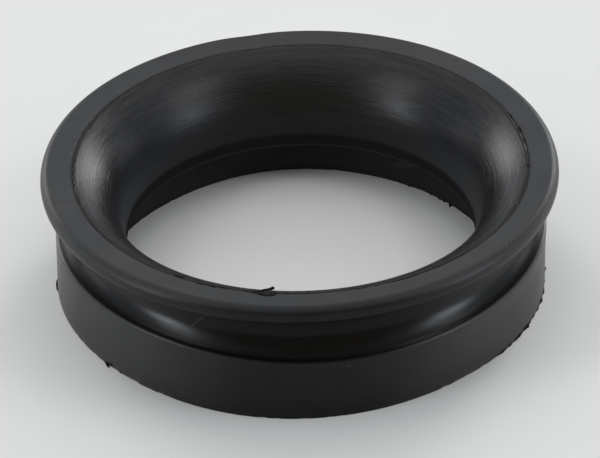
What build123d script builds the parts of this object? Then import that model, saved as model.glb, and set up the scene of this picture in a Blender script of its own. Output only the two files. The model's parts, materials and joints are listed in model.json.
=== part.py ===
from build123d import *

import os
from math import acos, atan, cos, degrees, radians, sin, tan

# Moulded rubber cup seal ring for a 4 inch (101.6 mm) bore: one piece, all lengths in millimetres.
#
# The whole ring is one section turned about +Z. The origin is the centre of the foot, so the ring
# stands on z = 0 with its wide mouth upwards. Going round the section from the foot: the skirt
# fills the bore, a deep round groove frees the lip above it, the lip's rounded edge stands out
# past the skirt, and the narrow top face leads over a crease into the bell mouth. The mouth
# narrows to a short straight throat, and under the throat the foot is bored out wider.

# ---- Skirt and foot ------------------------------------------------------------------------
skirt_radius = 50.8     # outside of the skirt, which seats in the bore
skirt_height = 14.4     # from the foot to the sharp arris where the groove starts
groove_depth = 3.8      # from the skirt's radius to the bottom of the groove
heel_radius = 41.4      # inside of the foot, below the throat
heel_height = 9.4       # how deep the foot is bored out
heel_bevel = 2.0        # bevel in the corner under the throat

# ---- Lip -----------------------------------------------------------------------------------
overall_height = 28.6   # from the foot to the crest of the lip
lip_overhang = 3.1      # how far the lip's edge stands out past the skirt
lip_edge_height = 4.0   # from the underside of the lip to its crest
lip_edge_depth = 1.7    # how far in the rounding of the lip's edge reaches
top_face_width = 6.85   # from the outside of the lip to the crease
top_face_fall = 3.8     # degrees by which the top face falls from the crest to the crease

# ---- Bell mouth and throat -----------------------------------------------------------------
throat_radius = 36.6    # smallest inside radius
throat_land = 2.6       # height of the straight throat
mouth_lead_angle = 20.0  # degrees between the bell mouth and the level, at the crease

# ---- Worked out from the sizes above -------------------------------------------------------
lip_radius = skirt_radius + lip_overhang
lip_underside = overall_height - lip_edge_height
crease_radius = lip_radius - top_face_width
throat_top = heel_height + throat_land


def lip_edge() -> Edge:
    """Draw the lip's outer edge as just over half an ellipse.

    It starts level at the underside of the lip, and runs past the crest until it slopes like the
    top face.

    Returns:
        One elliptical arc from the underside of the lip to the start of the top face.
    """
    half_height = lip_edge_height / 2
    centre = (lip_radius - lip_edge_depth, lip_underside + half_height)
    past_crest = atan(tan(radians(top_face_fall)) * lip_edge_depth / half_height)
    turn = 180 + degrees(past_crest)
    return EllipticalCenterArc(centre, lip_edge_depth, half_height, start_angle=-90, arc_size=turn)


def bell_mouth(crease: Vector) -> Edge:
    """Draw the flank of the mouth as part of an ellipse.

    It is upright where it meets the throat, and slopes by mouth_lead_angle at the crease. Those
    two slopes and the two ends fix how much of the ellipse is used and how large it is.

    Args:
        crease: where the top face ends, as radius and height.

    Returns:
        One elliptical arc between the crease and the top of the throat.
    """
    reach = crease.X - throat_radius
    rise = crease.Y - throat_top
    lean = tan(radians(mouth_lead_angle)) * reach / rise
    sweep = acos(lean / (1 - lean))
    across = reach / (1 - cos(sweep))
    upright = rise / sin(sweep)
    centre = (throat_radius + across, throat_top)
    turn = degrees(sweep)
    return EllipticalCenterArc(centre, across, upright, start_angle=180 - turn, arc_size=turn)


def ring_section() -> Sketch:
    """Draw the ring's closed section, with radius to the right and height upwards.

    Returns:
        The section on the XZ plane, all of it at positive X.
    """
    foot_outside = (skirt_radius, 0)
    foot_inside = (heel_radius, 0)
    arris = (skirt_radius, skirt_height)
    groove_bottom = (skirt_radius - groove_depth, (skirt_height + lip_underside) / 2)
    groove_top = (skirt_radius, lip_underside)
    throat_foot = (throat_radius, heel_height)
    bevel_top = (heel_radius - heel_bevel, heel_height)
    bevel_foot = (heel_radius, heel_height - heel_bevel)
    with BuildSketch(Plane.XZ) as section:
        with BuildLine():
            Line(foot_outside, arris)
            ThreePointArc(arris, groove_bottom, groove_top)
            edge = lip_edge()
            Line(groove_top, edge @ 0)
            face_start = edge @ 1
            face_drop = (face_start.X - crease_radius) * tan(radians(top_face_fall))
            crease = Vector(crease_radius, face_start.Y - face_drop)
            Line(face_start, crease)
            bell_mouth(crease)
            Line((throat_radius, throat_top), throat_foot)
            Polyline(throat_foot, bevel_top, bevel_foot, foot_inside, foot_outside)
        make_face()
    return section.sketch


def seal_ring() -> Part:
    """Turn the section about the ring's axis.

    Returns:
        The whole seal as one solid.
    """
    with BuildPart() as ring:
        add(ring_section())
        revolve(axis=Axis.Z)
    ring.part.label = "seal_ring"
    return ring.part


os.makedirs("parts", exist_ok=True)
export_step(seal_ring(), "parts/seal_ring.step")
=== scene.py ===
"""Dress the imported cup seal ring: moulded rubber, torn flash, trimmed foot, pale studio.

The ring is one moulded rubber piece. Its looks are built as a fine mesh turned from the same
section as the solid model, then pulled slightly out of round and trimmed by hand at the foot, as
the real ring is. Lengths are in metres in the shared frame: the ring stands on z = 0, its axis is
+Z, and azimuths are measured from the front (-Y) towards +X, in degrees.
"""

import json
import logging
import math
from dataclasses import dataclass, field
from enum import Enum
from typing import Any, Callable, Iterable, Sequence, Union

import bpy
import numpy as np
from mathutils import Matrix, Vector


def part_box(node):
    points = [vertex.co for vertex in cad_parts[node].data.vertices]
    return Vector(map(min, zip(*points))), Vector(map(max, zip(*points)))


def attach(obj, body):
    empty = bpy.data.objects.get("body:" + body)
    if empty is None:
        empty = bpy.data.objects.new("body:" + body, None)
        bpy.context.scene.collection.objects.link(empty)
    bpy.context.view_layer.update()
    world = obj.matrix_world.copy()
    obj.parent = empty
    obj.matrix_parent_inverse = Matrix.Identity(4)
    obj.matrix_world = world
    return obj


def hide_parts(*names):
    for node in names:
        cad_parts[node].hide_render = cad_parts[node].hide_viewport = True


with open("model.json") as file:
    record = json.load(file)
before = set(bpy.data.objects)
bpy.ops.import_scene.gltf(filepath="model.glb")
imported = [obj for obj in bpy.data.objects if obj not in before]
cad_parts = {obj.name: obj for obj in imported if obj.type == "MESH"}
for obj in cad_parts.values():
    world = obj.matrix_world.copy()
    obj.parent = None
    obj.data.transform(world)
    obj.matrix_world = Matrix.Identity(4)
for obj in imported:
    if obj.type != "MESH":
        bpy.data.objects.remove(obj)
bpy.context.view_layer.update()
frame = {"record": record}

MM = 0.001
NODE = "seal_ring"
log = logging.getLogger("seal")


# ---- Shader maths ----

Number = Union[float, "Signal"]
Socket = bpy.types.NodeSocket
Colour = tuple[float, float, float]
Span = tuple[float, float]
Point = tuple[float, float]


def operator(operation: str, turned: bool = False) -> Callable[["Signal", Number], "Signal"]:
    """Write an operator that adds a Math node.

    Args:
        operation: Blender's name of the operation.
        turned: whether the values change places, as a reflected form needs.

    Returns:
        The method that a signal uses for it.
    """
    def method(self: "Signal", other: Number) -> "Signal":
        """Return the result of the Math node on the two values."""
        return self.graph.math(operation, *((other, self) if turned else (self, other)))

    return method


@dataclass(frozen=True)
class Signal:
    """A value socket that can be written into ordinary Python arithmetic."""

    graph: "NodeGraph"
    socket: Socket

    __add__ = __radd__ = operator("ADD")
    __mul__ = __rmul__ = operator("MULTIPLY")
    __sub__, __rsub__ = operator("SUBTRACT"), operator("SUBTRACT", turned=True)
    __truediv__, __rtruediv__ = operator("DIVIDE"), operator("DIVIDE", turned=True)
    __pow__, __rpow__ = operator("POWER"), operator("POWER", turned=True)
    most, least = operator("MAXIMUM"), operator("MINIMUM")

    def __neg__(self) -> "Signal":
        """Return self with its sign turned."""
        return self * -1.0

    def root(self) -> "Signal":
        """Return the square root."""
        return self.graph.math("SQRT", self)


class NodeGraph:
    """A node tree that is filled from Python, for a material or for the world."""

    def __init__(self, tree: bpy.types.NodeTree) -> None:
        """Empty the tree and keep it."""
        self.tree = tree
        self.tree.nodes.clear()

    def node(self, kind: str, settings: dict[str, Any] | None = None,
             **inputs: Any) -> bpy.types.Node:
        """Add a node of any type.

        Args:
            kind: Blender's name of the node type.
            settings: properties that are set before the sockets.
            inputs: values or signals by socket name, with _ for each space in the name; a name
                such as in_1 is the socket's place instead.

        Returns:
            The new node.
        """
        made = self.tree.nodes.new(kind)
        for name, value in (settings or {}).items():
            setattr(made, name, value)
        for name, value in inputs.items():
            if name.startswith("in_"):
                target = made.inputs[int(name[3:])]
            else:
                target = made.inputs[name.replace("_", " ")]
            if isinstance(value, Signal):
                self.tree.links.new(value.socket, target)
            elif isinstance(value, Socket):
                self.tree.links.new(value, target)
            else:
                target.default_value = value
        return made

    def math(self, operation: str, *values: Number) -> Signal:
        """Return the result of one Math node on the given values."""
        places = {f"in_{place}": value for place, value in enumerate(values)}
        made = self.node("ShaderNodeMath", {"operation": operation}, **places)
        return Signal(self, made.outputs[0])

    def attribute(self, name: str) -> Signal:
        """Return a value stored on the mesh under that name."""
        made = self.node("ShaderNodeAttribute", {"attribute_name": name})
        return Signal(self, made.outputs["Fac"])

    def step(self, value: Number, start: float, end: float) -> Signal:
        """Rise smoothly from 0 to 1.

        Args:
            value: what is compared.
            start: where the result is 0.
            end: where the result is 1, which may be below start.

        Returns:
            A signal between 0 and 1.
        """
        if start < end:
            made = self.node("ShaderNodeMapRange", {"interpolation_type": "SMOOTHSTEP"},
                             Value=value, From_Min=start, From_Max=end)
            return Signal(self, made.outputs["Result"])
        return 1 - self.step(value, end, start)

    def place(self) -> Socket:
        """Return the point's place on the object, in metres."""
        return self.node("ShaderNodeTexCoord").outputs["Object"]

    def vector(self, x: Number, y: Number, z: Number) -> Socket:
        """Return the vector of three values."""
        return self.node("ShaderNodeCombineXYZ", X=x, Y=y, Z=z).outputs["Vector"]

    def split(self, vector: Socket) -> tuple[Signal, ...]:
        """Return a vector's three values."""
        made = self.node("ShaderNodeSeparateXYZ", Vector=vector)
        return tuple(Signal(self, output) for output in made.outputs)

    def bump(self, height: Signal, depth: float) -> Socket:
        """Return the normal of a surface that a height of 1 lifts by the given depth."""
        made = self.node("ShaderNodeBump", Strength=1.0, Distance=depth, Height=height)
        return made.outputs["Normal"]

    def blend(self, share: Number, first: Any, second: Any) -> Socket:
        """Return a colour between first and second."""
        made = self.node("ShaderNodeMix", {"data_type": "RGBA"}, in_0=share, in_6=first,
                         in_7=second)
        return made.outputs[2]


def linear(red: float, green: float, blue: float) -> tuple[float, float, float, float]:
    """Turn display values from 0 to 255 into a linear colour with alpha 1, by the sRGB curve."""
    shares = [value / 255 for value in (red, green, blue)]
    return (*(share / 12.92 if share <= 0.04045 else ((share + 0.055) / 1.055) ** 2.4
              for share in shares), 1.0)


def new_finish(name: str) -> tuple[bpy.types.Material, NodeGraph]:
    """Return a new material with its emptied node tree."""
    made = bpy.data.materials.new(name)
    made.use_nodes = True
    return made, NodeGraph(made.node_tree)


def add_mesh(name: str, corners: Sequence[Sequence[float]],
             faces: Sequence[Sequence[int]]) -> bpy.types.Object:
    """Put a new mesh in the scene.

    Args:
        name: the name of the object and its mesh.
        corners: the place of each corner in metres.
        faces: for each face, the numbers of its corners.

    Returns:
        The new object, which sits at the origin.
    """
    mesh = bpy.data.meshes.new(name)
    mesh.from_pydata(corners, [], faces)
    made = bpy.data.objects.new(name, mesh)
    bpy.context.scene.collection.objects.link(made)
    return made


# ---- The ring's section ----


class Zone(Enum):
    """The stretches of the section, in order round it from the middle of the foot."""

    FOOT = "foot"
    SKIRT = "skirt"
    GROOVE = "groove"
    LIP = "lip"
    FACE = "face"
    CREASE = "crease"
    MOUTH = "mouth"
    BELL = "bell"
    THROAT = "throat"
    HEEL = "heel"


class Edge(Enum):
    """The edges of the section that scraps of rubber hang on."""

    FOOT = "foot"
    BORE = "bore"
    CREASE = "crease"


@dataclass(frozen=True)
class Steps:
    """How many steps the outline takes along each kind of stretch."""

    chamfer: int = 2
    flat: int = 3
    corner: int = 3
    arris: int = 4
    throat: int = 4
    heel_wall: int = 5
    face: int = 8
    skirt: int = 10
    lip_edge: int = 22
    groove: int = 24
    mouth: int = 32


@dataclass(frozen=True)
class SealSection:
    """The section that the ring is turned from, as radius and height in metres."""

    skirt_radius: float
    skirt_height: float
    throat_radius: float
    heel_height: float
    throat_land: float
    heel_radius: float
    lip_radius: float
    overall_height: float
    groove_depth: float = 3.8 * MM
    heel_bevel: float = 2.0 * MM
    lip_edge_height: float = 4.0 * MM
    lip_edge_depth: float = 1.7 * MM
    top_face_width: float = 6.85 * MM
    top_face_fall: float = 3.8
    mouth_lead_angle: float = 20.0
    arris_round: float = 0.22 * MM
    foot_round: float = 0.22 * MM
    throat_round: float = 0.11 * MM
    throat_bulge: float = 0.022 * MM
    crease_cut: float = 0.13 * MM
    steps: Steps = Steps()

    @classmethod
    def from_frame(cls) -> "SealSection":
        """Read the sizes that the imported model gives.

        Returns:
            The section, with its radii and heights from the mounts and the model's box.
        """
        mounts = {mount["name"]: mount for mount in frame["record"]["mounts"]}
        skirt, throat, foot = mounts["skirt"], mounts["throat"], mounts["foot"]
        skirt_radius = skirt["dims"]["r_mm"] * MM
        land = throat["dims"]["length_mm"] * MM
        low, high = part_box(NODE)
        return cls(
            skirt_radius=skirt_radius,
            skirt_height=skirt["dims"]["length_mm"] * MM,
            throat_radius=throat["dims"]["r_mm"] * MM,
            heel_height=throat["pos_m"][2] - land / 2,
            throat_land=land,
            heel_radius=2 * foot["pos_m"][0] - skirt_radius,
            lip_radius=high.x,
            overall_height=high.z,
        )

    @property
    def slope(self) -> float:
        """Return how much the top face falls for each metre inward."""
        return math.tan(math.radians(self.top_face_fall))

    @property
    def underside(self) -> float:
        """Return the height of the lip's underside."""
        return self.overall_height - self.lip_edge_height

    @property
    def throat_top(self) -> float:
        """Return the height at which the throat goes over into the mouth."""
        return self.heel_height + self.throat_land

    @property
    def throat_foot(self) -> Point:
        """Return the place at which the throat's lower edge starts to round."""
        return (self.throat_radius, self.heel_height + self.throat_round)

    @property
    def foot_middle(self) -> Point:
        """Return the middle of the foot, where the outline starts and ends."""
        return ((self.heel_radius + self.skirt_radius) / 2, 0.0)

    def edge(self, which: Edge) -> Point:
        """Find one edge on the true turned form.

        Args:
            which: the edge.

        Returns:
            Its radius and height.
        """
        shoulder = self.lip_radius - self.lip_edge_depth
        crease = self.lip_radius - self.top_face_width
        return {
            Edge.FOOT: (self.skirt_radius, self.foot_round),
            Edge.BORE: (self.heel_radius, self.foot_round),
            Edge.CREASE: (crease, self.overall_height - (shoulder - crease) * self.slope),
        }[which]

    def line(self, start: Point, end: Point, count: int) -> np.ndarray:
        """Return count steps along a straight line, without its end."""
        share = np.linspace(0, 1, count, endpoint=False)[:, None]
        return np.array(start) * (1 - share) + np.array(end) * share

    def arc(self, centre: Point, across: float, upright: float, start: float, end: float,
            count: int) -> np.ndarray:
        """Return count steps along an elliptical arc between two angles, without its end."""
        angle = np.radians(np.linspace(start, end, count, endpoint=False))
        return np.array(centre) + np.stack([across * np.cos(angle), upright * np.sin(angle)], 1)

    def groove(self) -> np.ndarray:
        """Cut the round-bottomed groove.

        Returns:
            Its curve, from the arris up to the lip's root.
        """
        half = (self.underside - self.skirt_height) / 2
        radius = (half ** 2 + self.groove_depth ** 2) / (2 * self.groove_depth)
        centre = (self.skirt_radius - self.groove_depth + radius, self.skirt_height + half)
        opening = math.degrees(math.asin(half / radius))
        curve = self.arc(centre, radius, radius, 180 + opening, 180 - opening, self.steps.groove)
        return curve[curve[:, 0] < self.skirt_radius - self.arris_round]

    def lip(self) -> tuple[np.ndarray, Point]:
        """Round the lip's edge until it is as steep as the top face.

        Returns:
            The lip's underside and edge, and the place where the top face starts.
        """
        half = self.lip_edge_height / 2
        centre = (self.lip_radius - self.lip_edge_depth, self.underside + half)
        stop = 90 + math.degrees(math.atan(self.slope * self.lip_edge_depth / half))
        under = self.line((self.skirt_radius, self.underside), (centre[0], self.underside),
                          self.steps.flat)
        edge = self.arc(centre, self.lip_edge_depth, half, -90, stop, self.steps.lip_edge)
        face_start = self.arc(centre, self.lip_edge_depth, half, stop, stop, 1)[0]
        return np.vstack([under, edge]), tuple(face_start)

    def mouth(self, crease: Point) -> np.ndarray:
        """Curve the bell mouth down from the crease.

        Args:
            crease: the inner end of the top face.

        Returns:
            An elliptical arc, which slopes by the lead angle here and is upright at the throat.
        """
        reach, rise = crease[0] - self.throat_radius, crease[1] - self.throat_top
        lean = math.tan(math.radians(self.mouth_lead_angle)) * reach / rise
        sweep = math.acos(lean / (1 - lean))
        across, upright = reach / (1 - math.cos(sweep)), rise / math.sin(sweep)
        return self.arc((self.throat_radius + across, self.throat_top), across, upright,
                        180 - math.degrees(sweep), 180, self.steps.mouth)

    def heel(self) -> np.ndarray:
        """Cut the recess under the throat.

        Returns:
            The throat's lower edge, the recess with its bevel and the inner half of the foot.
        """
        steps, small = self.steps, self.foot_round
        edge = (self.throat_radius + self.throat_bulge, self.heel_height + self.throat_bulge)
        ceiling = (self.throat_radius + self.throat_round, self.heel_height)
        bevel_top = (self.heel_radius - self.heel_bevel, self.heel_height)
        bevel_low = (self.heel_radius, self.heel_height - self.heel_bevel)
        outward = self.heel_radius + small
        return np.vstack([
            self.line(self.throat_foot, edge, steps.chamfer),
            self.line(edge, ceiling, steps.chamfer),
            self.line(ceiling, bevel_top, steps.flat),
            self.line(bevel_top, bevel_low, steps.flat),
            self.line(bevel_low, (self.heel_radius, small), steps.heel_wall),
            self.arc((outward, small), small, small, 180, 270, steps.corner),
            self.line((outward, 0.0), self.foot_middle, steps.flat)])

    def stretches(self) -> list[tuple[Zone, np.ndarray]]:
        """Sample the section's outline.

        Returns:
            Each zone with its points as rows of radius and height, in order round the section.
        """
        small, blunt, steps = self.foot_round, self.arris_round, self.steps
        foot_edge, arris = self.skirt_radius - small, self.skirt_height - blunt
        lip, face_start = self.lip()
        inner = self.lip_radius - self.top_face_width
        crease = (inner, face_start[1] - (face_start[0] - inner) * self.slope)
        rim = (inner + self.crease_cut, crease[1] + self.crease_cut * self.slope)
        return [
            (Zone.FOOT, np.vstack([
                self.line(self.foot_middle, (foot_edge, 0.0), steps.flat),
                self.arc((foot_edge, small), small, small, -90, 0, steps.corner)])),
            (Zone.SKIRT, np.vstack([
                self.line((self.skirt_radius, small), (self.skirt_radius, arris), steps.skirt),
                self.arc((self.skirt_radius - blunt, arris), blunt, blunt, 0, 90, steps.arris)])),
            (Zone.GROOVE, self.groove()),
            (Zone.LIP, lip),
            (Zone.FACE, self.line(face_start, rim, steps.face)),
            (Zone.CREASE, self.line(rim, crease, steps.flat)),
            (Zone.MOUTH, self.mouth(crease)),
            (Zone.THROAT, self.line((self.throat_radius, self.throat_top), self.throat_foot,
                                    steps.throat)),
            (Zone.HEEL, self.heel()),
        ]


# ---- The uneven form ----


@dataclass(frozen=True)
class Skin:
    """Points on the ring: azimuths in radians, radii and heights in metres."""

    azimuth: np.ndarray
    radius: np.ndarray
    height: np.ndarray

    def corners(self) -> np.ndarray:
        """Return the points as x, y and z, with azimuth 0 in front."""
        across, away = self.radius * np.sin(self.azimuth), -self.radius * np.cos(self.azimuth)
        return np.stack([across, away, self.height], -1)


@dataclass(frozen=True)
class Wander:
    """A slow change round the ring: a steady part, and (order, cosine, sine) in millimetres."""

    steady: float
    waves: tuple[tuple[int, float, float], ...]

    def at(self, azimuth: np.ndarray) -> np.ndarray:
        """Return the change in metres at azimuths given in radians."""
        return MM * (self.steady + sum(
            cosine * np.cos(order * azimuth) + sine * np.sin(order * azimuth)
            for order, cosine, sine in self.waves))


@dataclass(frozen=True)
class Roughcast:
    """Seeded small-scale noise round the ring, between 0 and 1 and mostly near 0."""

    seed: int
    finest: int
    coarsest: int = 3
    peak: float = 3.0

    def at(self, azimuth: np.ndarray) -> np.ndarray:
        """Add up waves of every order, which close on themselves round the ring.

        Args:
            azimuth: where the noise is wanted, in radians.

        Returns:
            The noise there.
        """
        draw = np.random.default_rng(self.seed)
        orders = np.arange(self.coarsest, self.finest)
        phases = draw.uniform(0, 2 * math.pi, len(orders))
        weights = 1 / np.sqrt(orders)
        total = sum(weight * np.cos(order * azimuth + phase)
                    for order, weight, phase in zip(orders, weights, phases))
        spread = math.sqrt(float(np.sum(weights ** 2)) / 2)
        return np.clip(total / spread / self.peak, 0, 1)


@dataclass(frozen=True)
class Unevenness:
    """How the moulded and hand-trimmed ring departs from its true turned section.

    The crease's wander fades over the top face, and down the mouth it still has the mouth's share
    at the knee. The dip is where the arris hangs down, and its inset says how far inside the
    skirt it starts and is whole. Places and the dent's width are in degrees.
    """

    section: SealSection
    foot: Wander = Wander(-0.04, ((1, 0.02, -0.14), (2, -0.20, -0.06), (3, 0.20, 0.01),
                                  (4, 0.29, -0.08), (5, 0.06, -0.08), (6, 0.0, 0.04)))
    arris: Wander = Wander(0.06, ((2, -0.13, 0.10), (4, 0.22, 0.08)))
    lip: Wander = Wander(0.02, ((1, -0.04, 0.04), (2, 0.0, -0.13), (3, 0.02, 0.03),
                                (4, -0.08, -0.08)))
    crease: Wander = Wander(0.22, ((1, 0.15, 0.23), (2, 0.0, 0.10)))
    bore: Wander = Wander(0.12, ((1, 0.15, 0.0), (3, -0.07, 0.05), (4, 0.10, -0.01),
                                 (5, -0.14, -0.07)))
    dent_at: float = -168.8
    dent_width: float = 4.5
    dent_depth: float = 0.35 * MM
    mouth_knee: float = 0.7
    mouth_share: float = 0.8
    face_fade: float = 5.0 * MM
    dip_at: float = 12.0
    dip_depth: float = 0.8 * MM
    dip_sharpness: int = 6
    dip_from: float = 2.0 * MM
    dip_fade: float = 5.0 * MM
    dip_inset: Span = (4.0 * MM, 1.0 * MM)
    trim: Roughcast = Roughcast(seed=11, finest=150)
    trim_depth: float = 0.30 * MM
    trim_height: float = 0.5 * MM
    trim_width: float = 1.5 * MM
    bore_trim: Roughcast = Roughcast(seed=23, finest=190)
    bore_trim_depth: float = 0.28 * MM
    crease_trim: Roughcast = Roughcast(seed=5, finest=220, peak=1.8)
    crease_depth: float = 0.28 * MM
    crease_least: float = 0.06

    def pull(self, skin: Skin) -> np.ndarray:
        """Say how far the ring is out of round.

        Args:
            skin: points on the turned form.

        Returns:
            How far each point moves outward, in metres.
        """
        azimuth, radius, height = skin.azimuth, skin.radius, skin.height
        section = self.section
        throat, rim = section.throat_radius, section.edge(Edge.CREASE)[0]
        levels = [0.0, section.skirt_height, section.underside, section.overall_height]
        low, middle, high = (np.interp(height, levels, row)
                             for row in ([1, 0, 0, 0], [0, 1, 0, 0], [0, 0, 1, 1]))
        beside = (np.degrees(azimuth) - self.dent_at + 180) % 360 - 180
        dent = self.dent_depth * np.exp(-(beside / self.dent_width) ** 2)
        outside = (low * self.foot.at(azimuth) + middle * self.arris.at(azimuth)
                   + high * (self.lip.at(azimuth) - dent))
        outer = np.clip((radius - throat) / (section.skirt_radius - throat), 0, 1)
        knee = throat + self.mouth_knee * (rim - throat)
        about_crease = np.interp(radius, [throat, knee, rim, rim + self.face_fade],
                                 [0, self.mouth_share, 1, 0])
        upper = height > section.underside / 2
        centre = section.foot_middle[0]
        inner = np.clip((centre - radius) / (centre - section.heel_radius), 0, 1)
        under = np.clip(1 - height / section.heel_height, 0, 1)
        return (outside * outer + self.crease.at(azimuth) * about_crease * upper
                + self.bore.at(azimuth) * under * inner)

    def dip(self, skin: Skin) -> np.ndarray:
        """Say how far the arris and the skirt about it hang down.

        Args:
            skin: points on the turned form.

        Returns:
            How far each point moves down, in metres.
        """
        swing = np.cos(skin.azimuth - math.radians(self.dip_at))
        near = ((1 + swing) / 2) ** self.dip_sharpness
        arris, wall = self.section.skirt_height, self.section.skirt_radius
        upward = np.interp(skin.height, [self.dip_from, arris, arris + self.dip_fade], [0, 1, 0])
        outward = np.interp(skin.radius, [wall - inset for inset in self.dip_inset], [0, 1])
        return self.dip_depth * near * upward * outward

    def cut(self, skin: Skin) -> np.ndarray:
        """Say how far the foot's two edges are trimmed back into the rubber.

        Args:
            skin: points on the turned form.

        Returns:
            How far each point moves inward, in metres.
        """
        low = np.clip(1 - skin.height / self.trim_height, 0, 1)
        outside = skin.radius > self.section.skirt_radius - self.trim_width
        inside = skin.radius < self.section.heel_radius + self.trim_width
        return low * (self.trim_depth * self.trim.at(skin.azimuth) * outside
                      - self.bore_trim_depth * self.bore_trim.at(skin.azimuth) * inside)

    def apply(self, skin: Skin, crease: np.ndarray) -> Skin:
        """Pull the turned form out of true.

        Args:
            skin: points on the turned form.
            crease: above 0 on the crease between face and mouth, 0 elsewhere.

        Returns:
            The points of the uneven form.
        """
        ragged = self.crease_least + self.crease_trim.at(skin.azimuth)
        notch = self.crease_depth * ragged * crease
        return Skin(skin.azimuth, skin.radius + self.pull(skin) - self.cut(skin),
                    skin.height - self.dip(skin) - notch)


# ---- The ring ----


@dataclass
class Piece:
    """One piece of the ring, which lies on the turned section and shares its unevenness."""

    section: SealSection
    uneven: Unevenness
    name: str = "piece"

    def build(self) -> bpy.types.Object:
        """Make the piece's object; each kind of piece has its own way."""
        raise NotImplementedError

    def dress(self, finish: bpy.types.Material) -> bpy.types.Object:
        """Build the piece, give it its finish, and fix it to the ring's body.

        Args:
            finish: its material.

        Returns:
            The dressed object.
        """
        piece = self.build()
        piece.data.shade_smooth()
        piece.data.materials.append(finish)
        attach(piece, "root")
        return piece


@dataclass
class MouldedRing(Piece):
    """The whole ring as one turned and slightly uneven skin."""

    name: str = "ring_skin"
    around: int = 720
    lip_blend: float = 0.9 * MM
    mouth_blend: float = 11.0 * MM

    def outline(self) -> tuple[np.ndarray, dict[Zone, np.ndarray]]:
        """Join the section's stretches.

        Returns:
            The closed outline as rows of radius and height, and for each zone a row from 0 to 1
            that says how far each point belongs to it.
        """
        parts = self.section.stretches()
        points = np.vstack([part for _, part in parts])
        marks = {zone: np.zeros(len(points)) for zone in Zone}
        start = 0
        for zone, part in parts:
            marks[zone][start:start + len(part)] = 1.0
            start += len(part)
        below_top = self.section.overall_height - points[:, 1]
        over_throat = points[:, 1] - self.section.throat_top
        rounded = np.clip(1 - below_top / self.lip_blend, 0, 1)
        low = np.clip(1 - over_throat / self.mouth_blend, 0, 1)
        for giver, taker, share in ((Zone.LIP, Zone.FACE, rounded),
                                    (Zone.MOUTH, Zone.BELL, low ** 2 * (3 - 2 * low))):
            given = share * marks[giver]
            marks[taker] += given
            marks[giver] -= given
        return points, marks

    def build(self) -> bpy.types.Object:
        """Turn the outline into a closed mesh and store what the finish needs on it.

        Returns:
            The new object, in place.
        """
        points, marks = self.outline()
        per = len(points)
        turns = np.radians(np.arange(self.around) * 360 / self.around)
        azimuth, radius = np.meshgrid(turns, points[:, 0], indexing="ij")
        height = np.tile(points[:, 1], (self.around, 1))
        crease = np.tile(marks[Zone.CREASE], (self.around, 1))
        skin = self.uneven.apply(Skin(azimuth, radius, height), crease)
        ring, spot = np.meshgrid(np.arange(self.around), np.arange(per), indexing="ij")
        after, beyond = (ring + 1) % self.around, (spot + 1) % per
        faces = np.stack([ring * per + spot, after * per + spot, after * per + beyond,
                          ring * per + beyond], 2).reshape(-1, 4)
        made = add_mesh(self.name, skin.corners().reshape(-1, 3).tolist(), faces.tolist())
        run = np.concatenate([[0], np.cumsum(np.hypot(*np.diff(points, axis=0).T))])
        self.store(made.data, "run", run / MM)
        for zone, mark in marks.items():
            self.store(made.data, zone.value, mark)
        return made

    def store(self, mesh: bpy.types.Mesh, name: str, values: np.ndarray) -> None:
        """Keep the outline's values under the given name, the same all round the ring."""
        kept = mesh.attributes.new(name, "FLOAT", "POINT")
        kept.data.foreach_set("value", np.tile(values, self.around).astype(np.float32))


# ---- Torn and trimmed scraps ----


@dataclass(frozen=True)
class Sliver:
    """One thin scrap of rubber.

    Its path is given as rows of azimuth in degrees, then millimetres outward from and above the
    edge that it hangs on. Width and thickness are halved sizes in millimetres.
    """

    path: tuple[tuple[float, float, float], ...]
    width: float
    thickness: float
    start: float = 1.0
    end: float = 0.6


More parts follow.
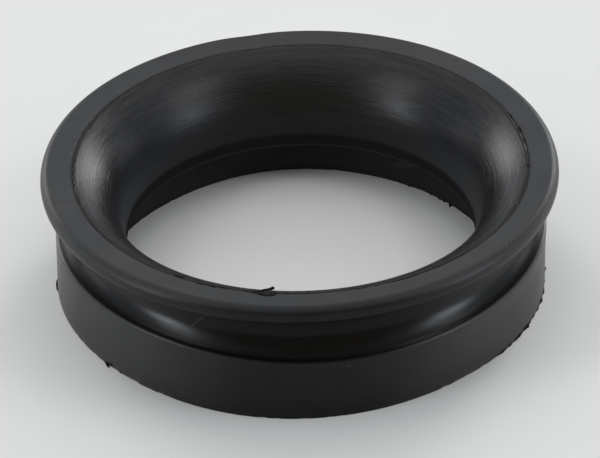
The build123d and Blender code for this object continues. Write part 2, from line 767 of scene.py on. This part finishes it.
@dataclass
class Scraps(Piece):
    """Slivers of rubber that hang on one edge of the ring, as one mesh."""

    name: str = "scraps"
    edge: Edge = Edge.CREASE
    slivers: tuple[Sliver, ...] = ()
    seed: int = 1
    sides: int = 9
    steps: int = 5
    smoothings: int = 2
    lumpiness: float = 0.16

    def strips(self, draw: np.random.Generator) -> Iterable[Sliver]:
        """Return the slivers; a kind of scrap that is partly random draws them here."""
        return self.slivers

    def spine(self, sliver: Sliver) -> np.ndarray:
        """Lay a sliver's middle line on the uneven ring.

        Args:
            sliver: the scrap to lay.

        Returns:
            Points along it, in metres.
        """
        path = np.array(sliver.path)
        places = np.linspace(0, len(path) - 1, self.steps * (len(path) - 1) + 1)
        rows = np.stack([np.interp(places, np.arange(len(path)), column) for column in path.T], 1)
        for _ in range(self.smoothings):
            rows[1:-1] = (rows[:-2] + 2 * rows[1:-1] + rows[2:]) / 4
        azimuth = np.radians(rows[:, 0])
        radius, height = (np.full_like(azimuth, size) for size in self.section.edge(self.edge))
        skin = self.uneven.apply(Skin(azimuth, radius, height), np.zeros_like(azimuth))
        return Skin(azimuth, skin.radius + rows[:, 1] * MM,
                    skin.height + rows[:, 2] * MM).corners()

    def tube(self, sliver: Sliver, draw: np.random.Generator) -> np.ndarray:
        """Thicken a sliver's middle line into a slightly lumpy tube.

        Args:
            sliver: the scrap to thicken.
            draw: where its lumps are drawn from.

        Returns:
            For each step along it, the corners round it in metres.
        """
        spine = self.spine(sliver)
        turn = np.linspace(0, 2 * math.pi, self.sides, endpoint=False)
        along = np.gradient(spine, axis=0)
        side = np.cross(along, (0.0, 0.0, 1.0))
        side /= np.linalg.norm(side, axis=1)[:, None]
        upward = np.cross(side, along)
        upward /= np.linalg.norm(upward, axis=1)[:, None]
        share = np.linspace(0, 1, len(spine))
        scale = np.interp(share, [0, 0.5, 1], [sliver.start, 1, sliver.end])[:, None]
        scale = scale * (1 + self.lumpiness * draw.standard_normal((len(spine), self.sides)))
        across = (scale * np.cos(turn) * sliver.width * MM)[..., None]
        lift = (scale * np.sin(turn) * sliver.thickness * MM)[..., None]
        tube = spine[:, None] + side[:, None] * across + upward[:, None] * lift
        tube[..., 2] = np.clip(tube[..., 2], 0, self.section.overall_height)
        return tube

    def build(self) -> bpy.types.Object:
        """Make all the slivers as closed tubes.

        Returns:
            The new object, in place.
        """
        draw = np.random.default_rng(self.seed)
        corners: list[list[float]] = []
        faces: list[tuple[int, ...]] = []
        for sliver in self.strips(draw):
            tube = self.tube(sliver, draw)
            first, count = len(corners), self.sides
            corners += tube.reshape(-1, 3).tolist()
            for row in range(first, len(corners) - count, count):
                for spot in range(count):
                    low, after = row + spot, row + (spot + 1) % count
                    faces.append((low, after, after + count, low + count))
            faces.append(tuple(range(first + count - 1, first - 1, -1)))
            faces.append(tuple(range(len(corners) - count, len(corners))))
        return add_mesh(self.name, corners, faces)


@dataclass
class TornFlash(Scraps):
    """The torn mould flash on the crease near the front: a strand with a knob, and lumps."""

    name: str = "torn_flash"
    seed: int = 3
    slivers: tuple[Sliver, ...] = (
        Sliver(((-11.4, 0.1, -0.05), (-10.6, -0.25, 0.02), (-9.4, -0.85, 0.06),
                (-8.4, -1.15, 0.05), (-7.8, -1.35, 0.06), (-7.3, -1.75, 0.08)),
               0.20, 0.17, 1.4, 2.0),
        Sliver(((-12.4, 0.05, 0.0), (-11.3, 0.25, 0.06), (-10.4, 0.4, 0.03)), 0.42, 0.16),
        Sliver(((-10.9, 0.35, 0.0), (-9.8, 0.65, 0.10), (-8.8, 0.85, 0.06)), 0.55, 0.17),
        Sliver(((-9.6, 0.95, 0.0), (-8.6, 1.05, 0.12), (-7.7, 0.95, 0.08)), 0.45, 0.15),
        Sliver(((-8.3, 0.6, 0.0), (-7.4, 0.75, 0.12), (-6.6, 0.6, 0.08)), 0.50, 0.15),
        Sliver(((-8.2, 0.1, 0.0), (-7.0, 0.3, 0.04), (-5.6, 0.1, 0.0)), 0.24, 0.15),
    )


@dataclass
class CreaseLumps(Scraps):
    """Small leftovers of the mould flash, spaced out along the crease."""

    name: str = "crease_lumps"
    seed: int = 4
    slivers: tuple[Sliver, ...] = (
        Sliver(((-32.8, -0.1, -0.05), (-31.5, -0.05, 0.05), (-30.1, -0.1, -0.05)), 0.26, 0.16),
        Sliver(((-26.2, 0.25, -0.04), (-25.2, 0.35, 0.04), (-24.0, 0.3, -0.04)), 0.22, 0.13),
        Sliver(((-23.4, 0.35, -0.05), (-22.4, 0.3, 0.03), (-21.2, 0.1, -0.05)), 0.22, 0.14),
        Sliver(((-20.6, 0.05, -0.05), (-19.6, 0.05, 0.03), (-18.6, 0.0, -0.05)), 0.17, 0.12),
        Sliver(((105.0, 0.35, -0.05), (103.6, 0.35, 0.05), (102.3, 0.3, -0.05)), 0.30, 0.15),
        Sliver(((99.3, 0.2, -0.05), (98.4, 0.15, 0.03), (97.4, 0.1, -0.05)), 0.20, 0.13),
        Sliver(((111.2, 0.4, -0.05), (110.3, 0.4, 0.03), (109.2, 0.35, -0.05)), 0.16, 0.12),
        Sliver(((87.8, 0.0, -0.05), (86.9, 0.0, 0.03), (86.0, 0.0, -0.05)), 0.18, 0.12),
    )


@dataclass
class FootNibs(Scraps):
    """Flakes and tongues that the trimming left on the outer edge of the foot."""

    name: str = "foot_nibs"
    edge: Edge = Edge.FOOT
    seed: int = 7
    slivers: tuple[Sliver, ...] = (
        Sliver(((-86.2, -0.35, -0.40), (-87.4, 0.0, -0.40), (-88.6, 0.16, -0.35),
                (-89.8, 0.22, -0.15), (-90.7, 0.20, 0.0), (-91.3, 0.0, 0.15)),
               0.19, 0.20, 1.6, 0.7),
        Sliver(((-55.0, -0.45, -0.10), (-53.9, -0.1, -0.10), (-52.9, 0.25, -0.15),
                (-52.1, 0.5, -0.20)), 0.28, 0.22, 1.2, 0.5),
        Sliver(((-49.6, -0.35, -0.10), (-48.6, -0.05, -0.10), (-47.6, -0.35, -0.10)), 0.18, 0.18),
        Sliver(((91.8, -0.25, -0.05), (90.4, 0.25, 0.0), (89.0, -0.25, -0.05)), 0.24, 0.25),
        Sliver(((67.2, -0.3, -0.10), (66.0, 0.2, -0.10), (64.8, -0.3, -0.10)), 0.26, 0.24),
    )


@dataclass
class TrimmedEdge(Scraps):
    """The ragged burr that the trimming left along the right of the foot."""

    name: str = "trimmed_edge"
    edge: Edge = Edge.FOOT
    seed: int = 9
    reach: Span = (52.0, 85.5)
    stretch: Span = (1.6, 4.5)
    gap: Span = (0.1, 0.8)
    width: Span = (0.12, 0.26)
    out: Span = (-0.05, 0.15)
    tuck: float = 0.2
    sunk: Span = (0.1, 0.05)
    thickness: float = 0.22
    taper: float = 0.7

    def strips(self, draw: np.random.Generator) -> Iterable[Sliver]:
        """Draw short burrs one after another along the edge.

        Args:
            draw: where their sizes and gaps are drawn from.

        Returns:
            The burrs, each with its ends tucked in and sunk below the edge.
        """
        azimuth, stop = self.reach
        while azimuth < stop:
            length = draw.uniform(*self.stretch)
            width = draw.uniform(*self.width)
            out = draw.uniform(*self.out)
            low, high = (-depth for depth in self.sunk)
            yield Sliver(((azimuth, out - self.tuck, low), (azimuth + length / 2, out, high),
                          (azimuth + length, out - self.tuck, low)),
                         width, self.thickness, self.taper, self.taper)
            azimuth += length + draw.uniform(*self.gap)


@dataclass
class BoreNibs(Scraps):
    """Nibs that the trimming left on the inner edge of the foot, pointing into the bore."""

    name: str = "bore_nibs"
    edge: Edge = Edge.BORE
    seed: int = 13
    slivers: tuple[Sliver, ...] = (
        Sliver(((129.0, 0.35, -0.10), (128.5, -0.10, -0.10), (128.1, -0.55, -0.15)),
               0.30, 0.22, 1.5, 0.6),
        Sliver(((137.4, 0.30, -0.10), (137.0, 0.0, -0.10), (136.7, -0.25, -0.10)), 0.18, 0.18),
        Sliver(((134.2, 0.25, -0.10), (133.4, -0.05, -0.10), (132.6, 0.15, -0.10)), 0.16, 0.18),
        Sliver(((132.4, 0.20, -0.10), (131.6, -0.12, -0.10), (130.6, 0.20, -0.10)), 0.16, 0.18),
        Sliver(((146.0, 0.25, -0.10), (145.0, -0.05, -0.10), (144.0, 0.25, -0.10)), 0.15, 0.18),
    )


# ---- Finishes ----


@dataclass(frozen=True)
class Pattern:
    """A cloudy pattern: how many lumps go to a metre, and how fine and rough they are.

    Tone, gloss, dulling and height say how much it changes the finish in each.
    """

    scale: float
    detail: float
    roughness: float
    tone: float = 0.0
    gloss: float = 0.0
    dulling: float = 0.0
    height: float = 0.0

    def lay(self, graph: NodeGraph, place: Socket) -> Signal:
        """Return the pattern at a place, between 0 and 1."""
        made = graph.node("ShaderNodeTexNoise", {"noise_dimensions": "3D"}, Vector=place,
                          Scale=self.scale, Detail=self.detail, Roughness=self.roughness)
        return Signal(graph, made.outputs[0])


@dataclass(frozen=True)
class Spot:
    """A place on the ring, as the signals that its finish is made of.

    The run goes along the section from the middle of the foot, in millimetres, and the azimuth is
    in degrees. Behind is -1 in front and 1 at the back, aside is 0 at both and 1 at the two sides,
    and askew is 1 half-way between them. Lines, cloud and mottle swing about 0.
    """

    graph: NodeGraph
    marks: dict[Zone, Signal]
    run: Signal
    azimuth: Signal
    behind: Signal
    aside: Signal
    askew: Signal
    lines: Signal
    cloud: Signal
    mottle: Signal


@dataclass(frozen=True)
class ZoneLook:
    """How one zone takes the light, and how strongly the turned marks show in it."""

    base: float
    roughness: float
    gloss: float
    lines: float = 0.0


@dataclass(frozen=True)
class Patch:
    """A part of one zone that is lighter or glossier than the rest, or less so below 0.

    It grows with the powers of aside and askew. The ramps say from where to where it comes in
    along the run and towards the front.
    """

    zone: Zone
    strength: float
    aside: int = 0
    askew: int = 0
    run: Span | None = None
    behind: Span | None = None

    def mark(self, spot: Spot) -> Signal:
        """Say how much a place gets.

        Args:
            spot: the place.

        Returns:
            The strength there, and 0 outside the patch.
        """
        mark = spot.marks[self.zone] * self.strength
        if self.aside:
            mark = mark * spot.aside ** self.aside
        if self.askew:
            mark = mark * spot.askew ** self.askew
        if self.run:
            mark = mark * spot.graph.step(spot.run, *self.run)
        if self.behind:
            mark = mark * spot.graph.step(spot.behind, *self.behind)
        return mark


@dataclass(frozen=True)
class ScratchOrPaintedHighlight:
    """A straight light streak, from one azimuth and run to another. Some are scratch marks; others
    are painted highlights.

    The radius of the ring there and the width are in millimetres. The core is the share of the
    width that has the whole strength.
    """

    start: Point
    end: Point
    radius: float
    width: float
    strength: float
    core: float = 0.3

    def mark(self, spot: Spot) -> Signal:
        """Say how strongly a place lies on the streak.

        Args:
            spot: the place.

        Returns:
            The strength on the streak, falling to 0 beside it.
        """
        per_degree = math.radians(self.radius)
        across = (self.end[0] - self.start[0]) * per_degree
        along = self.end[1] - self.start[1]
        over = (spot.azimuth - self.start[0]) * per_degree
        up = spot.run - self.start[1]
        length = math.hypot(across, along)
        share = ((over * across + up * along) / length ** 2).most(0.0).least(1.0)
        away = ((over - share * across) ** 2 + (up - share * along) ** 2).root()
        return (1 - spot.graph.step(away, self.core * self.width, self.width)) * self.strength


@dataclass(frozen=True)
class TornRubber:
    """The blacker, rougher skin of rubber that was torn or cut."""

    colour: Colour = (0.003, 0.003, 0.003)
    grain: Pattern = Pattern(5000.0, 2.0, 0.6, dulling=0.2)
    roughness: float = 0.65
    shine: float = 0.12
    bump_depth: float = 0.03 * MM

    def material(self) -> bpy.types.Material:
        """Build the finish.

        Returns:
            The material.
        """
        made, graph = new_finish("torn_rubber")
        grain = self.grain.lay(graph, graph.place())
        shader = graph.node("ShaderNodeBsdfPrincipled", Base_Color=(*self.colour, 1.0),
                            Roughness=grain * self.grain.dulling + self.roughness,
                            Specular_IOR_Level=self.shine,
                            Normal=graph.bump(grain, self.bump_depth))
        graph.node("ShaderNodeOutputMaterial", Surface=shader.outputs["BSDF"])
        return made


@dataclass(frozen=True)
class MouldedRubber:
    """Black moulded rubber: smooth in the groove, turned marks in the mouth, dull below it.

    Painted side light is a lighter tone painted on the sides of the skirt and the bell, and gleams
    are parts that are glossier than their zone. The front shade is painted shade: the top of the
    lip's edge in front is set darker and duller.
    """

    dark: Colour = (0.001, 0.001, 0.001)
    light: Colour = (0.050, 0.0525, 0.057)
    stained: Colour = (0.054, 0.0525, 0.049)
    shine: float = 0.5
    looks: dict[Zone, ZoneLook] = field(default_factory=lambda: {
        Zone.FOOT: ZoneLook(base=0.17, roughness=0.60, gloss=0.40),
        Zone.SKIRT: ZoneLook(base=0.035, roughness=0.34, gloss=0.50),
        Zone.GROOVE: ZoneLook(base=0.03, roughness=0.25, gloss=0.50),
        Zone.LIP: ZoneLook(base=0.13, roughness=0.42, gloss=0.36, lines=0.3),
        Zone.FACE: ZoneLook(base=0.66, roughness=0.38, gloss=0.42, lines=0.25),
        Zone.CREASE: ZoneLook(base=0.14, roughness=0.60, gloss=0.20),
        Zone.MOUTH: ZoneLook(base=0.18, roughness=0.27, gloss=0.58, lines=1.0),
        Zone.BELL: ZoneLook(base=0.38, roughness=0.50, gloss=0.12, lines=0.6),
        Zone.THROAT: ZoneLook(base=0.23, roughness=0.60, gloss=0.06),
        Zone.HEEL: ZoneLook(base=0.55, roughness=0.60, gloss=0.06),
    })
    # Painted light: the skirt is lighter half-way to the sides, where it reflects the pale floor,
    # and the bell is lighter at the sides.
    painted_side_light: tuple[Patch, ...] = (
        Patch(Zone.SKIRT, 0.20, askew=1),
        Patch(Zone.BELL, 0.30, aside=1),
    )
    gleams: tuple[Patch, ...] = (
        Patch(Zone.SKIRT, 0.45, askew=2),
        Patch(Zone.SKIRT, 0.50, aside=4),
        Patch(Zone.MOUTH, -0.11, run=(47.5, 45.5)),
        Patch(Zone.MOUTH, -0.15, aside=3, run=(50.0, 47.0)),
        Patch(Zone.LIP, 0.80, aside=1),
        Patch(Zone.GROOVE, -0.20, run=(23.0, 24.0), behind=(-0.72, -0.97)),
        Patch(Zone.GROOVE, 0.30, aside=1, run=(22.0, 23.5)),
        Patch(Zone.GROOVE, -0.34, run=(21.6, 19.8)),
    )
    scratches_and_painted_highlights: tuple[ScratchOrPaintedHighlight, ...] = (
        ScratchOrPaintedHighlight((-74.0, 39.0), (-73.1, 45.2), 49.0, 0.16, 0.5),
        ScratchOrPaintedHighlight((-28.2, 23.6), (-24.9, 26.5), 48.0, 0.14, 0.6),
        ScratchOrPaintedHighlight((-21.8, 34.8), (-20.4, 36.2), 53.0, 0.14, 0.6),
        ScratchOrPaintedHighlight((51.3, 38.8), (52.3, 39.6), 52.0, 0.18, 0.5),
        ScratchOrPaintedHighlight((9.6, 17.2), (10.4, 17.7), 50.8, 0.16, 0.6),
        # Painted highlights: the lighter streaks on the recess wall at the back left and back
        # right, where the wall reflects light.
        ScratchOrPaintedHighlight((144.6, 75.4), (149.8, 76.7), 41.0, 1.10, 0.22),
        ScratchOrPaintedHighlight((-146.2, 75.5), (-144.0, 75.8), 41.0, 0.80, 0.15),
    )
    streak: Pattern = Pattern(1.0, 4.0, 0.75, tone=0.8, gloss=0.9, dulling=0.25, height=3.1)
    streaks_round: float = 4.0
    streaks_per_mm: float = 1.3
    cloud: Pattern = Pattern(60.0, 3.0, 0.55, tone=0.3, gloss=0.54, dulling=0.08)
    mottle: Pattern = Pattern(190.0, 3.0, 0.60, tone=0.35, gloss=0.30)
    stain: Pattern = Pattern(28.0, 2.0, 0.50)
    stain_edge: Span = (0.42, 0.66)
    grain: Pattern = Pattern(2600.0, 2.0, 0.60, height=0.12)
    bump_depth: float = 0.03 * MM
    # Face tone: a random mottle, and painted light that makes the face lighter towards the two
    # sides.
    dust_least: float = 0.75
    face_side_light: float = 0.5
    face_side_light_most: float = 0.19
    # Painted shade: a band over the top of the lip's edge in front, set darker and duller.
    front_shade_start: Span = (37.8, 38.5)
    front_shade_end: Span = (40.2, 39.2)
    brow_behind: Span = (0.1, -0.5)
    front_shade_tone: float = 0.42
    brow_dulling: float = 0.3

    def weigh(self, marks: dict[Zone, Signal], trait: str) -> Signal:
        """Add up one trait of the looks over the zones that a point lies in."""
        amounts = {zone: getattr(look, trait) for zone, look in self.looks.items()}
        return sum(marks[zone] * amount for zone, amount in amounts.items() if amount)

    def spot(self, graph: NodeGraph) -> Spot:
        """Find where a point is on the ring, and lay the patterns there.

        Args:
            graph: the finish that is being built.

        Returns:
            The place.
        """
        marks = {zone: graph.attribute(zone.value) for zone in self.looks}
        run = graph.attribute("run")
        place = graph.place()
        x, y, _ = graph.split(place)
        radius = (x * x + y * y).root()
        right, behind = x / radius, y / radius
        aside = right ** 2
        turned = graph.vector(right * self.streaks_round, behind * self.streaks_round,
                              run * self.streaks_per_mm)
        streak, cloud, mottle = (pattern.lay(graph, where) - 0.5 for pattern, where in (
            (self.streak, turned), (self.cloud, place), (self.mottle, place)))
        return Spot(graph=graph, marks=marks, run=run,
                    azimuth=graph.math("ARCTAN2", x, -y) * math.degrees(1.0),
                    behind=behind, aside=aside, askew=aside * behind ** 2 * 4.0,
                    lines=streak * self.weigh(marks, "lines"), cloud=cloud, mottle=mottle)

    def tone(self, spot: Spot, front_shade: Signal) -> Signal:
        """Say how light the rubber is at a place.

        Args:
            spot: the place.
            front_shade: 1 on the painted front shade band and 0 elsewhere.

        Returns:
            0 where it is as dark as it gets, 1 where it has the whole light colour.
        """
        # Face tone: a random mottle, and painted light that is lighter towards the two sides.
        dust_and_side_light = ((spot.aside * self.face_side_light).least(self.face_side_light_most)
                + spot.mottle * self.mottle.tone + self.dust_least)
        tone = (self.weigh(spot.marks, "base") * (spot.cloud * self.cloud.tone + 1.0)
                * (spot.marks[Zone.FACE] * (dust_and_side_light - 1.0) + 1.0)
                * (spot.lines * self.streak.tone + 1.0))
        # Scratch marks, painted highlights on the recess wall, and painted side light on the skirt
        # and bell.
        marks = sum(mark.mark(spot) for mark in (*self.scratches_and_painted_highlights, *self.painted_side_light))
        # On the front shade band the tone is replaced by a painted shade tone.
        return tone * (1 - front_shade) + front_shade * self.front_shade_tone + marks

    def gloss(self, spot: Spot, front_shade: Signal) -> Signal:
        """Say how glossy the rubber is at a place.

        Args:
            spot: the place.
            front_shade: 1 on the painted front shade band and 0 elsewhere.

        Returns:
            0 where it is matt, 1 where it has the whole shine.
        """
        patchy = ((spot.cloud * self.cloud.gloss + spot.mottle * self.mottle.gloss)
                  * (spot.marks[Zone.SKIRT] + spot.marks[Zone.LIP]))
        gloss = (self.weigh(spot.marks, "gloss") * (spot.lines * self.streak.gloss + 1.0)
                 * (1 - front_shade * self.brow_dulling) * (patchy + 1.0))
        return gloss + sum(gleam.mark(spot) for gleam in self.gleams)

    def material(self) -> bpy.types.Material:
        """Build the finish.

        Returns:
            The material, which reads the zones that are stored on the ring's mesh.
        """
        made, graph = new_finish("moulded_rubber")
        spot = self.spot(graph)
        # Painted shade: a band over the top of the lip's edge in front, set darker and duller.
        front_shade = (graph.step(spot.run, *self.front_shade_start) * graph.step(spot.run, *self.front_shade_end)
                * graph.step(spot.behind, *self.brow_behind))
        brown = graph.step(self.stain.lay(graph, graph.place()), *self.stain_edge)
        light = graph.blend(brown, (*self.light, 1.0), (*self.stained, 1.0))
        tint = graph.blend(self.tone(spot, front_shade), (*self.dark, 1.0), light)
        rough = (self.weigh(spot.marks, "roughness") + spot.lines * self.streak.dulling
                 + spot.cloud * self.cloud.dulling)
        grain = self.grain.lay(graph, graph.place())
        normal = graph.bump(spot.lines * self.streak.height + grain * self.grain.height,
                            self.bump_depth)
        matt, glossy = (graph.node("ShaderNodeBsdfPrincipled", Base_Color=tint, Roughness=rough,
                                   Normal=normal, Specular_IOR_Level=shine)
                        for shine in (0.0, self.shine))
        skin = graph.node("ShaderNodeMixShader", in_0=self.gloss(spot, front_shade),
                          in_1=matt.outputs["BSDF"], in_2=glossy.outputs["BSDF"])
        graph.node("ShaderNodeOutputMaterial", Surface=skin.outputs["Shader"])
        return made


@dataclass(frozen=True)
class PaleFloor:
    """The plain pale sheet that the ring stands on."""

    colour: Colour = (216, 216, 215)
    shade: float = 0.985
    mottle: Pattern = Pattern(40.0, 2.0, 0.5)
    roughness: float = 0.75
    shine: float = 0.2
    reach: float = 3.0

    def material(self) -> bpy.types.Material:
        """Build the sheet's finish.

        Returns:
            The material.
        """
        made, graph = new_finish("pale_sheet")
        tint = graph.blend(self.mottle.lay(graph, graph.place()), linear(*self.colour),
                           linear(*(self.shade * channel for channel in self.colour)))
        shader = graph.node("ShaderNodeBsdfPrincipled", Base_Color=tint,
                            Roughness=self.roughness, Specular_IOR_Level=self.shine)
        graph.node("ShaderNodeOutputMaterial", Surface=shader.outputs["BSDF"])
        return made

    def build(self) -> None:
        """Make the floor with its finish."""
        reach = self.reach
        corners = [(-reach, -reach, 0), (reach, -reach, 0), (reach, reach, 0), (-reach, reach, 0)]
        floor = add_mesh("floor", corners, [(0, 1, 2, 3)])
        floor.data.materials.append(self.material())


# ---- Studio ----


@dataclass(frozen=True)
class Softbox:
    """One soft lamp, placed round the ring and aimed at it.

    Its bearing is measured from the back (+Y) towards +X. Its power is what an open lamp as
    bright in front would take. A grid on the lamp narrows its spread, so that the floor near it
    stays pale grey.
    """

    name: str
    bearing: float
    elevation: float
    distance: float
    width: float
    height: float
    power: float
    colour: Colour = (1.0, 1.0, 1.0)
    spread: float = 80.0

    def build(self, target: Vector) -> None:
        """Hang the lamp.

        Args:
            target: the point that the lamp is aimed at.
        """
        lamp = bpy.data.lights.new(self.name, "AREA")
        lamp.shape = "RECTANGLE"
        lamp.size, lamp.size_y = self.width, self.height
        half = math.radians(self.spread) / 2
        lamp.spread = 2 * half
        lamp.energy = self.power * (1 - half / math.tan(half))
        lamp.color = self.colour
        made = bpy.data.objects.new(self.name, lamp)
        across, up = math.radians(self.bearing), math.radians(self.elevation)
        away = Vector((math.sin(across) * math.cos(up), math.cos(across) * math.cos(up),
                       math.sin(up)))
        made.location = target + away * self.distance
        made.rotation_euler = away.to_track_quat("Z", "Y").to_euler()
        made.visible_camera = False
        bpy.context.scene.collection.objects.link(made)


@dataclass
class Studio:
    """The room round the ring: floor, sky, lamps and camera.

    Angles are in degrees. The edges say where one part of the sky goes over into the next.
    """

    centre: Vector
    walls: Colour = (0.575, 0.61, 0.645)
    front: Colour = (0.205, 0.175, 0.13)
    top: Colour = (1.37, 1.355, 1.33)
    front_edge: Span = (-0.8, -0.35)
    top_edge: Span = (0.76, 0.97)
    top_tip: float = 22.0
    boxes: tuple[Softbox, ...] = (
        Softbox("low_back_right", 35.5, 12, 1.8, 0.42, 0.42, 2.83),
        Softbox("mid_back_right", 31, 21, 1.8, 0.60, 0.42, 4.62),
        Softbox("high_back_right", 27, 31, 1.8, 0.50, 0.42, 4.37),
        Softbox("inner_back_right", 22, 12, 1.8, 0.50, 0.42, 0.65),
        Softbox("low_back_left", -40, 9, 1.8, 0.65, 0.42, 1.94),
        Softbox("mid_back_left", -37, 21, 1.8, 0.60, 0.42, 4.52),
        Softbox("high_back_left", -28, 31, 1.8, 0.42, 0.42, 2.42),
        Softbox("inner_back_left", -20, 14, 1.8, 0.42, 0.42, 0.58),
        Softbox("low_side_right", 111, 9, 0.5, 0.15, 0.12, 0.34, (0.92, 1.0, 1.13)),
        Softbox("mid_side_right", 117, 20, 0.5, 0.14, 0.12, 0.18, (0.94, 1.0, 1.10)),
        Softbox("high_side_right", 106, 34, 0.5, 0.14, 0.12, 0.13),
        Softbox("top_side_right", 105, 52, 0.5, 0.18, 0.12, 0.28),
        Softbox("low_side_left", -115, 9, 0.5, 0.13, 0.12, 0.34, (0.94, 1.0, 1.09)),
        Softbox("mid_side_left", -119, 20, 0.5, 0.13, 0.12, 0.25, (0.94, 1.0, 1.09)),
        Softbox("high_side_left", -117, 34, 0.5, 0.12, 0.12, 0.125),
        Softbox("top_side_left", -105, 52, 0.5, 0.18, 0.12, 0.25),
        Softbox("fill_right", 62, 8, 0.5, 0.16, 0.14, 0.08),
        Softbox("fill_left", -72, 10, 0.5, 0.20, 0.14, 0.09),
    )
    camera_place: tuple[float, float, float] = (-0.000202, -0.87097, 0.59168)
    camera_fall: float = 33.64
    camera_roll: float = 1.53
    lens: float = 300.0
    sensor: float = 36.0
    clip: Span = (0.05, 20.0)

    def sky(self) -> None:
        """Light the room as a pale tent: bright above and behind, darker in front."""
        world = bpy.data.worlds.new("room")
        bpy.context.scene.world = world
        world.use_nodes = True
        graph = NodeGraph(world.node_tree)
        _, behind, up = graph.split(graph.node("ShaderNodeTexCoord").outputs["Generated"])
        tip = math.radians(self.top_tip)
        back = graph.step(behind, *self.front_edge)
        above = graph.step(behind * math.sin(tip) + up * math.cos(tip), *self.top_edge)
        walls = graph.blend(back, (*self.front, 1.0), (*self.walls, 1.0))
        tint = graph.blend(above, walls, (*self.top, 1.0))
        glow = graph.node("ShaderNodeBackground", Color=tint, Strength=1.0)
        graph.node("ShaderNodeOutputWorld", Surface=glow.outputs["Background"])

    def camera(self) -> None:
        """Set up the camera that looks down at the ring from the front."""
        lens = bpy.data.cameras.new("camera")
        lens.lens = self.lens
        lens.sensor_width = self.sensor
        lens.clip_start, lens.clip_end = self.clip
        made = bpy.data.objects.new("camera", lens)
        tilt = Matrix.Rotation(math.radians(90 - self.camera_fall), 4, "X")
        roll = Matrix.Rotation(math.radians(-self.camera_roll), 4, "Z")
        made.matrix_world = Matrix.Translation(self.camera_place) @ tilt @ roll
        bpy.context.scene.collection.objects.link(made)
        bpy.context.scene.camera = made

    def build(self) -> None:
        """Make the camera, the lamps, the sky and the floor, and set the plain view transform."""
        self.camera()
        self.sky()
        for box in self.boxes:
            box.build(self.centre)
        PaleFloor().build()
        bpy.context.scene.view_settings.view_transform = "Standard"


# ---- Assembly ----


def main() -> None:
    """Build the studio and the ring, piece by piece."""
    logging.basicConfig(level=logging.INFO, format="%(name)s: %(message)s")
    section = SealSection.from_frame()
    uneven = Unevenness(section)
    Studio(centre=Vector((0, 0, section.overall_height / 2))).build()
    skin = MouldedRing(section, uneven).dress(MouldedRubber().material())
    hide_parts(NODE)
    torn = TornRubber().material()
    scraps = [kind(section, uneven).dress(torn)
              for kind in (TornFlash, CreaseLumps, FootNibs, TrimmedEdge, BoreNibs)]
    for piece in (skin, *scraps):
        log.info("%s: %d faces", piece.name, len(piece.data.polygons))


if __name__ == "__main__":
    main()
